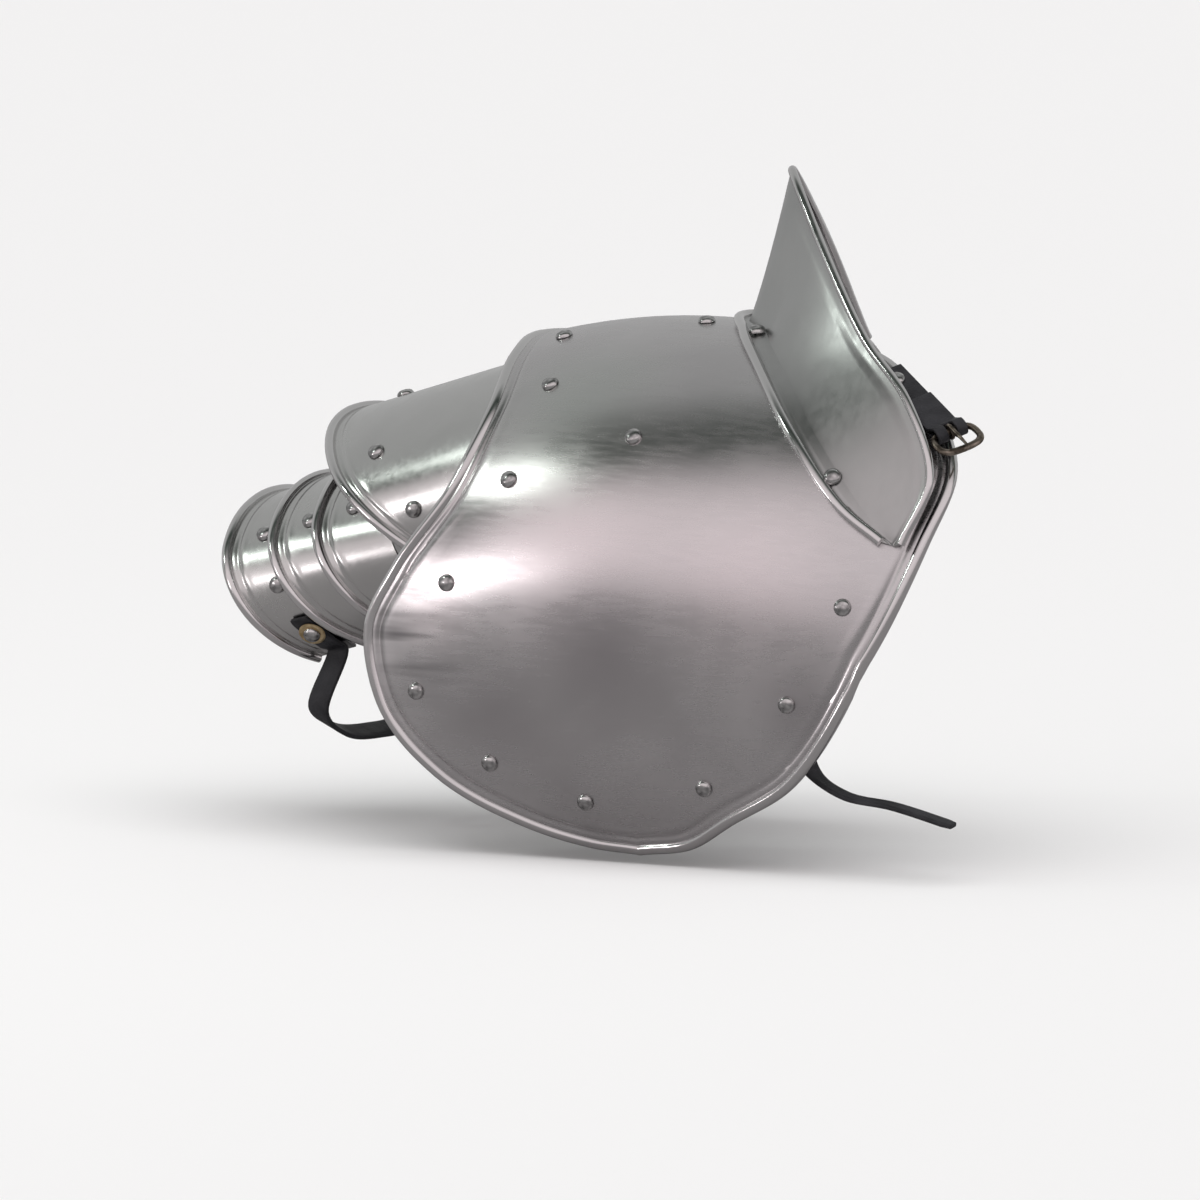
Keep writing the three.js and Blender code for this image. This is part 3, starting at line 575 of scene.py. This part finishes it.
# (mm along the shoulder, degrees round it) on the main plate; (degrees round the arm, mm along it) on a lame.
LINING_RIVETS = [
    (-12, 62), (-38, 83), (-56, 101), (-21, 115.5), (25, 123.5), (88, 118), (158, 79.5), (38, 6.5), (46, 51.5),
    (-20, -62), (-34, -80), (8, -98), (52, -84), (64, -56),
]
SIDE_RIVETS = {
    "lame_1": (88, -24),
    "lame_3": (90, free_edge(LAMES["lame_3"], 90) - 27),
    "lame_4": (90, free_edge(LAMES["lame_4"], 90) - 22),
}


def rivet(name, body, point, normal, stack, replaced=()):
    """A domed head on the outer face and a flat burr inside; point is on the outer face."""
    r, h = HEAD_RADIUS, HEAD_HEIGHT
    head = [(0.2, 0.05), (r - 0.25, 0.05), (r, 0.3), (0.96 * r, 0.3 * h + 0.3), (0.84 * r, 0.62 * h + 0.3),
            (0.62 * r, 0.85 * h + 0.3), (0.34 * r, 0.97 * h + 0.3), (0.05, h + 0.3)]
    tail = [(0.2, -stack - 0.8), (2.4, -stack - 0.8), (2.6, -stack - 0.5), (2.6, -stack), (1.4, -stack), (1.4, 0.1),
            (0.2, 0.1)]
    obj = new_mesh(f"{name}_visual", [lathe(head), lathe(tail, 16)])
    place(obj, point, normal)
    return finish_piece(obj, body, RIVET_STEEL, replaced)


def build_rivets():
    main_stack = PLATE + INSIDE_GAP + LEATHER + GAP
    for line, (x, degrees) in MAIN_LEATHER_RIVETS.items():
        point, normal = on_dome(x, degrees, PLATE)
        rivet(f"main_rivet_{line}", "main_plate", point, normal, main_stack, [f"main_rivet_{line}"])
    for k, (x, degrees) in enumerate(LINING_RIVETS):
        point, normal = on_dome(x, degrees, PLATE)
        rivet(f"lining_rivet_{k + 1}", "main_plate", point, normal, 3.0)
    point, normal = on_dome(*BODY_STRAP_RIVET, PLATE)
    rivet("body_strap_rivet", "main_plate", point, normal, 6.4, ["body_strap_rivet"])
    for tag, (s, share) in HAUTE_RIVETS.items():
        foot = catmull(HAUTE_FOOT, s)[0]
        lift = HAUTE_SEAT + PLATE + 2 * GAP
        point, normal = on_dome(foot[0] + share * haute_flange(s), foot[1], lift)
        rivet(f"haute_rivet_{tag}", "main_plate", point, normal, lift + INSIDE_GAP, [f"haute_rivet_{tag}"])
    for name, lame in LAMES.items():
        stack = LAME + INSIDE_GAP + LEATHER + GAP
        for line, degrees in LEATHER_LINES.items():
            u = free_edge(lame, degrees) - lame["setback"] + (CREST_CLEARANCE if line == "crest" else 0)
            point, normal = on_lame(lame, degrees, u, LAME)
            rivet(f"{name}_rivet_{line}", name, point, normal, stack, [f"{name}_rivet_{line}"])
        if name not in SIDE_RIVETS:
            continue
        side, u = SIDE_RIVETS[name]
        for k, degrees in enumerate((side, -side)):
            point, normal = on_lame(lame, degrees, u, LAME)
            rivet(f"{name}_side_rivet_{k + 1}", name, point, normal, 2.2)


# ---- Leathers and straps ---------------------------------------------------------------------------------------
def band(name, points, across, half_widths, thickness, columns=4, gap=None):
    """A strap along points, as a sheet with rounded long edges; gap = (first row, last row, half width) is cut out."""
    points, across = np.asarray(points, float), unit(np.asarray(across, float))
    half_widths = np.broadcast_to(half_widths, len(points))
    if gap is None:
        sides = np.linspace(-1, 1, columns + 1)
    else:
        cut = gap[2] / half_widths[0]
        sides = np.array([-1, -0.6, -cut, cut, 0.6, 1])
    grid = points[:, None] + across[:, None] * (half_widths[:, None] * sides)[..., None]
    rows, columns = grid.shape[:2]
    faces = []
    for i in range(rows - 1):
        for j in range(columns - 1):
            if gap is not None and gap[0] <= i < gap[1] and j == 2:
                continue
            a = i * columns + j
            faces.append((a, a + columns, a + columns + 1, a + 1))
    obj = new_mesh(name, [(grid.reshape(-1, 3), faces)])
    obj.data.set_sharp_from_angle(angle=math.radians(180))
    solid = obj.modifiers.new("thickness", "SOLIDIFY")
    solid.thickness, solid.offset = thickness * MM, 0.0
    round_edges = obj.modifiers.new("edges", "BEVEL")
    round_edges.width, round_edges.segments, round_edges.limit_method = 0.3 * thickness * MM, 2, "ANGLE"
    round_edges.angle_limit = math.radians(50)
    apply_modifiers(obj)
    return obj


def apply_modifiers(obj):
    bpy.context.view_layer.update()
    made = bpy.data.meshes.new_from_object(obj.evaluated_get(bpy.context.evaluated_depsgraph_get()))
    obj.modifiers.clear()
    obj.data = made
    made.shade_smooth()
    made.set_sharp_from_angle(angle=math.radians(45))


def build_inner_leathers():
    """A strip of leather across each joint on each line; the strips of one line meet under the rivets."""
    depth = INSIDE_GAP + LEATHER / 2
    names = list(LAMES)
    for line, degrees in LEATHER_LINES.items():
        x, t = MAIN_LEATHER_RIVETS[line]
        # Each spot: the rivet's place, a place 5 mm nearer the neck, and the body it rides on.
        spots = [(on_dome(x, t, -depth)[0], on_dome(x + 5, t, -depth)[0], "main_plate")]
        for name in names:
            lame = LAMES[name]
            u = free_edge(lame, degrees) - lame["setback"]
            spots.append((*(on_lame(lame, degrees, place, -depth)[0] for place in (u, u - 5)), name))
        for k, name in enumerate(names):
            lame = LAMES[name]
            (start, back, body_a), (end, before, body_b) = spots[k], spots[k + 1]
            under = on_lame(lame, degrees, hidden_edge(lame, degrees) + 4, -depth - 1.0)[0]
            normal = on_lame(lame, degrees, -10)[1]
            sag = 0.45 * start + 0.55 * under - 1.0 * normal
            path = catmull([back, start, sag, under, end, end + 0.6 * (end - before)], np.linspace(0, 1, 40))
            path = path - normal * (0.35 * (k % 2))
            run = unit(end - start)
            across = np.broadcast_to(np.cross(run, normal), path.shape)
            strip = band(f"inner_leather_{line}_{k + 1}", path, across, LEATHER_WIDTH / 2, LEATHER)
            strip.data.materials.append(INNER_LEATHER)
            replaced = [f"{name}_leather_{line}"] + ([f"main_leather_{line}"] if k == 0 else [])
            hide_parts(*replaced)
            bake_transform(strip)


ARM_STRAP = dict(width=10.5, thickness=2.2, u=-35, angle=122, drop=50, lean=0, tilt=28)


def build_arm_strap():
    lame = LAMES["lame_4"]
    lift = LAME + 3 * GAP + ARM_STRAP["thickness"] / 2
    angle, u0 = ARM_STRAP["angle"], ARM_STRAP["u"]
    wrap = lambda side: [on_lame(lame, side * (angle + turn), u0 + shift, lift)[0]
                         for turn, shift in [(-10, 3), (-5, 1.5), (0, 0), (6, -1), (12, -2), (18, -3)]]
    corner = on_lame(lame, angle, u0, lift)[0]
    loop = [(corner[0] - ARM_STRAP["lean"], y, corner[2] - ARM_STRAP["drop"] + rise)
            for y, rise in [(-46, 14), (-28, 3), (0, 0), (26, 2), (42, 14)]]
    s = np.linspace(0, 1, 150)
    points = catmull([*wrap(1), *loop, *wrap(-1)[::-1]], s)
    twist = smoothstep(0.5 - np.abs(s - 0.5), 0.25, 0.45)[:, None]
    tilt = math.radians(ARM_STRAP["tilt"])
    across = -lame_axes(lame)[1] * (1 - twist) + np.array([math.cos(tilt), 0, -math.sin(tilt)]) * twist
    width = ARM_STRAP["width"] / 2 * (1 - 0.12 * np.exp(-((np.minimum(s, 1 - s)) / 0.02) ** 2))
    strap = band("arm_strap_visual", points, across, width, ARM_STRAP["thickness"])
    finish_piece(strap, "lame_4", STRAP_LEATHER, ["arm_strap"])
    seat = LAME + ARM_STRAP["thickness"] + 4 * GAP
    for side, tag in ((1, "front"), (-1, "rear")):
        point, normal = on_lame(lame, side * angle, u0, seat)
        ring = [(1.8, 0.1), (5.9, 0.1), (6.2, 0.3), (6.2, 0.75), (5.7, 1.0), (5.0, 1.08), (2.6, 1.02), (1.8, 0.9)]
        washer = place(new_mesh(f"arm_strap_washer_{tag}_visual", [lathe(ring, 40)]), point, normal)
        finish_piece(washer, "lame_4", BRASS, [f"arm_strap_washer_{tag}"])
        rivet(f"arm_strap_rivet_{tag}", "lame_4", point + normal * 1.0, normal, seat + 2.5, [f"arm_strap_rivet_{tag}"])


def build_body_strap():
    x, degrees = BODY_STRAP_RIVET
    depth = -INSIDE_GAP - 1.1
    held = [on_dome(x, degrees + turn, depth - drop)[0] for turn, drop in ((-5, 0), (0, 0), (4, 3.5))]
    route = [(135, -80, -189), (150, -78, -198.5), (176, -78, -202), (208, -80, -208.5)]
    s = np.linspace(0, 1, 110)
    points = catmull([*held, *route], s)
    turned = smoothstep(s, 0.3, 0.6)
    across = np.array([1, 0.22, 0]) * (1 - turned)[:, None] + np.array([0, 0.98, 0.18]) * turned[:, None]
    width = (12 + (7 - 12) * turned) / 2 * (1 - 0.25 * smoothstep(s, 0.975, 1.0))
    strap = band("body_strap_visual", points, across, width, 2.2)
    finish_piece(strap, "main_plate", STRAP_LEATHER, ["body_strap"])


NECK_STRAP = dict(start=(143, 18.5), end=(187, 34.5), width=15, lift=(5, 8.4), setback=9)
BUCKLE = dict(width=19.5, length=12.5, wire=1.5, slot=4.6, tongue=1.0)
BAR_HEIGHT = LEATHER / 2 + BUCKLE["wire"] + 2 * GAP


def strap_frame():
    """The neck strap's own axes: along it, up off the plate, and across; and its length to the buckle's bar."""
    start, up_a = on_dome(*NECK_STRAP["start"], NECK_STRAP["lift"][0])
    end, up_b = on_dome(*NECK_STRAP["end"], NECK_STRAP["lift"][1])
    ahead = unit(end - start)
    across = unit(np.cross(ahead, up_a + up_b))
    return start, ahead, np.cross(across, ahead), across, float(np.linalg.norm(end - start))


def build_neck_strap():
    start, ahead, up, across, length = strap_frame()
    to_world = lambda pts: start + np.outer([p[0] for p in pts], ahead) + np.outer([p[1] for p in pts], up) \
        + np.outer([p[2] if len(p) > 2 else 0 for p in pts], across)
    radius = BUCKLE["wire"] + 2 * GAP + LEATHER / 2
    turn = np.linspace(-90, 90, 19)
    fold = [(length + radius * math.cos(a), BAR_HEIGHT + radius * math.sin(a)) for a in np.radians(turn)]
    flat = [(k, 0.0) for k in np.linspace(0, length - 2, 20)]
    back = [(length - 2, BAR_HEIGHT + radius), (length - 5, 3.6), (length - 8, LEATHER + 0.1)]
    back += [(k, LEATHER + 0.1) for k in np.linspace(length - 12, length - 30, 8)]
    route = flat + fold + back
    points = to_world(route)
    gap = (len(flat) - 2, len(flat) + len(fold) + 1, BUCKLE["slot"] / 2)
    strap = band("neck_strap_visual", points, np.broadcast_to(across, points.shape), NECK_STRAP["width"] / 2,
                 LEATHER - 0.1, gap=gap)
    finish_piece(strap, "main_plate", STRAP_LEATHER, ["neck_strap"])
    point = to_world([(NECK_STRAP["setback"], LEATHER / 2)])[0]
    rivet("neck_strap_rivet", "main_plate", point, up, LEATHER + NECK_STRAP["lift"][0] + INSIDE_GAP + 1,
          ["neck_strap_rivet"])
    bar = to_world([(length, BAR_HEIGHT)])[0]
    half, wire, run = BUCKLE["width"] / 2, BUCKLE["wire"], BUCKLE["length"]
    corners = [(0, 0, 0), (0, 0, half - 2.5), (2.5, 0, half), (run - 2.5, 0, half), (run, 0, half - 2.5),
               (run + 1, 0, 0), (run, 0, 2.5 - half), (run - 2.5, 0, -half), (2.5, 0, -half), (0, 0, 2.5 - half)]
    s = np.linspace(0, 1, 120, False)
    loop = catmull(corners, s, closed=True)
    world = bar + np.outer(loop[:, 0], ahead) + np.outer(loop[:, 1], up) + np.outer(loop[:, 2], across)
    flare = wire * (1 + 0.15 * smoothstep(loop[:, 0], run * 0.6, run))
    wire_loop = tube(world, np.broadcast_to(up, world.shape), flare, wire, 14, closed=True)
    ring = new_mesh("buckle_frame_visual", [wire_loop])
    finish_piece(ring, "buckle_frame", BRONZE, ["buckle_frame"])
    ring_radius = wire + GAP + BUCKLE["tongue"]
    a = np.linspace(0, 2 * math.pi, 40, False)
    eye = bar + np.outer(ring_radius * np.cos(a), ahead) + np.outer(ring_radius * np.sin(a), up)
    rod_s = np.linspace(0, run + 2.5, 30)
    drop = -0.25 * smoothstep(rod_s, run - 2, run + 2.5)
    rod = bar + np.outer(rod_s, ahead) + np.outer(ring_radius + 0.35 + drop, up)
    thin = BUCKLE["tongue"] * (1 - 0.35 * smoothstep(rod_s, run * 0.4, run + 2.5))
    tongue = new_mesh("buckle_tongue_visual", [
        tube(eye, np.broadcast_to(across, eye.shape), BUCKLE["tongue"], BUCKLE["tongue"], 10, closed=True),
        tube(rod, np.broadcast_to(up, rod.shape), thin, thin, 10),
    ])
    finish_piece(tongue, "buckle_tongue", BRONZE, ["buckle_tongue"])


# ---- Floor, light and camera -----------------------------------------------------------------------------------
CAMERA_BACK = Vector((0.527, -0.843, 0.1045)).normalized()
CAMERA_RIGHT = Vector((0.848, 0.530, 0.0))
CAMERA_UP = Vector((-0.0554, 0.0886, 0.9945))
CAMERA_DISTANCE = 9.0
CAMERA_AIM = CAMERA_RIGHT * -0.0225 + CAMERA_UP * -0.126
LENS = 600
FLOOR_SIZE = 30.0
FLOOR_GAP = 0.004


def build_floor():
    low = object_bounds()[0].z - FLOOR_GAP
    corners = [(x * FLOOR_SIZE, y * FLOOR_SIZE, low) for x, y in ((-1, -1), (1, -1), (1, 1), (-1, 1))]
    data = bpy.data.meshes.new("floor")
    data.from_pydata(corners, [], [(0, 1, 2, 3)])
    floor = bpy.data.objects.new("floor", data)
    bpy.context.scene.collection.objects.link(floor)
    material = bpy.data.materials.new("floor")
    material.use_nodes = True
    tree = material.node_tree
    shader = tree.nodes["Principled BSDF"]
    path = tree.nodes.new("ShaderNodeLightPath")
    tone = tree.nodes.new("ShaderNodeMix")
    tone.data_type = "RGBA"
    tone.inputs[6].default_value = (0.88, 0.88, 0.88, 1)
    tone.inputs[7].default_value = (0.27, 0.262, 0.264, 1)
    tree.links.new(path.outputs["Is Glossy Ray"], tone.inputs[0])
    tree.links.new(tone.outputs[2], shader.inputs["Base Color"])
    shader.inputs["Roughness"].default_value = 0.9
    shader.inputs["Specular IOR Level"].default_value = 0.1
    data.materials.append(material)


def build_world():
    """A pale wall for the camera; for reflections, a front panel, a dark gap above it and a grey top."""
    world = bpy.data.worlds.new("studio")
    bpy.context.scene.world = world
    world.use_nodes = True
    tree = world.node_tree
    back = tree.nodes["Background"]
    place = tree.nodes.new("ShaderNodeTexCoord")
    split = tree.nodes.new("ShaderNodeSeparateXYZ")
    turn = tree.nodes.new("ShaderNodeVectorMath")
    turn.operation = "DOT_PRODUCT"
    turn.inputs[1].default_value = (0.53, -0.848, 0)
    angle = tree.nodes.new("ShaderNodeMath")
    angle.operation = "ARCTAN2"
    scale = tree.nodes.new("ShaderNodeMapRange")
    scale.inputs["From Min"].default_value = -math.pi
    scale.inputs["From Max"].default_value = math.pi
    ramp = tree.nodes.new("ShaderNodeValToRGB")
    at = lambda degrees: (degrees + 180) / 360
    stops = [(-180, (0.5, 0.5, 0.5)), (-40, (0.3, 0.3, 0.3)), (-5, (0.3, 0.29, 0.29)), (4, (0.6, 0.55, 0.56)),
             (22, (0.84, 0.77, 0.785)), (50, (0.8, 0.74, 0.75)), (63, (0.42, 0.4, 0.4)), (72, (0.09, 0.105, 0.095)),
             (82, (0.035, 0.045, 0.038)), (92, (0.2, 0.21, 0.202)), (102, (0.42, 0.425, 0.42)), (180, (0.5, 0.5, 0.5))]
    while len(ramp.color_ramp.elements) < len(stops):
        ramp.color_ramp.elements.new(0.5)
    for element, (degrees, color) in zip(ramp.color_ramp.elements, stops):
        element.position, element.color = at(degrees), (*color, 1)
    path = tree.nodes.new("ShaderNodeLightPath")
    mix = tree.nodes.new("ShaderNodeMix")
    mix.data_type = "RGBA"
    mix.inputs[7].default_value = (0.93, 0.93, 0.93, 1)
    link = tree.links.new
    link(place.outputs["Generated"], split.inputs[0])
    link(place.outputs["Generated"], turn.inputs[0])
    link(split.outputs["Z"], angle.inputs[0])
    link(turn.outputs["Value"], angle.inputs[1])
    link(angle.outputs[0], scale.inputs["Value"])
    link(scale.outputs["Result"], ramp.inputs["Fac"])
    link(path.outputs["Is Camera Ray"], mix.inputs[0])
    link(ramp.outputs["Color"], mix.inputs[6])
    link(mix.outputs[2], back.inputs["Color"])
    back.inputs["Strength"].default_value = 1.0


def area_light(name, place_at, aim, size, power, color=(1, 1, 1), in_reflections=True):
    light = bpy.data.lights.new(name, "AREA")
    light.shape, light.size, light.size_y = "RECTANGLE", size[0], size[1]
    light.energy, light.color = power, color
    obj = bpy.data.objects.new(name, light)
    obj.location = place_at
    obj.rotation_euler = (Vector(place_at) - Vector(aim)).to_track_quat("Z", "Y").to_euler()
    obj.visible_glossy = in_reflections
    obj.visible_camera = False
    bpy.context.scene.collection.objects.link(obj)


def sky_light(name, towards, strength, spread):
    light = bpy.data.lights.new(name, "SUN")
    light.energy, light.angle = strength, math.radians(spread)
    obj = bpy.data.objects.new(name, light)
    obj.rotation_euler = Vector(towards).to_track_quat("Z", "Y").to_euler()
    obj.visible_glossy = False
    bpy.context.scene.collection.objects.link(obj)


def build_camera():
    data = bpy.data.cameras.new("camera")
    data.lens, data.sensor_width = LENS, 36
    camera = bpy.data.objects.new("camera", data)
    camera.location = CAMERA_AIM + CAMERA_BACK * CAMERA_DISTANCE
    camera.rotation_mode = "QUATERNION"
    camera.rotation_quaternion = CAMERA_BACK.to_track_quat("Z", "Y")
    bpy.context.scene.collection.objects.link(camera)
    bpy.context.scene.camera = camera


build_main_plate()
build_haute_piece()
for lame_name in LAMES:
    build_lame(lame_name)
build_rivets()
build_inner_leathers()
build_arm_strap()
build_body_strap()
build_neck_strap()
build_floor()
build_world()
sky_light("overhead", (0.25, -0.3, 1.0), 2.0, 70)
area_light("window", (-1.0, -0.85, 0.79), (-0.01, -0.1, -0.07), (0.1, 0.2), 1.3, (0.92, 1.0, 0.94))
area_light("low_panel", (-1.02, -1.2, 0.02), (-0.04, -0.1, -0.12), (0.3, 0.14), 1.1, (1.0, 0.95, 0.96))
build_camera()
bpy.context.scene.view_settings.view_transform = "Standard"
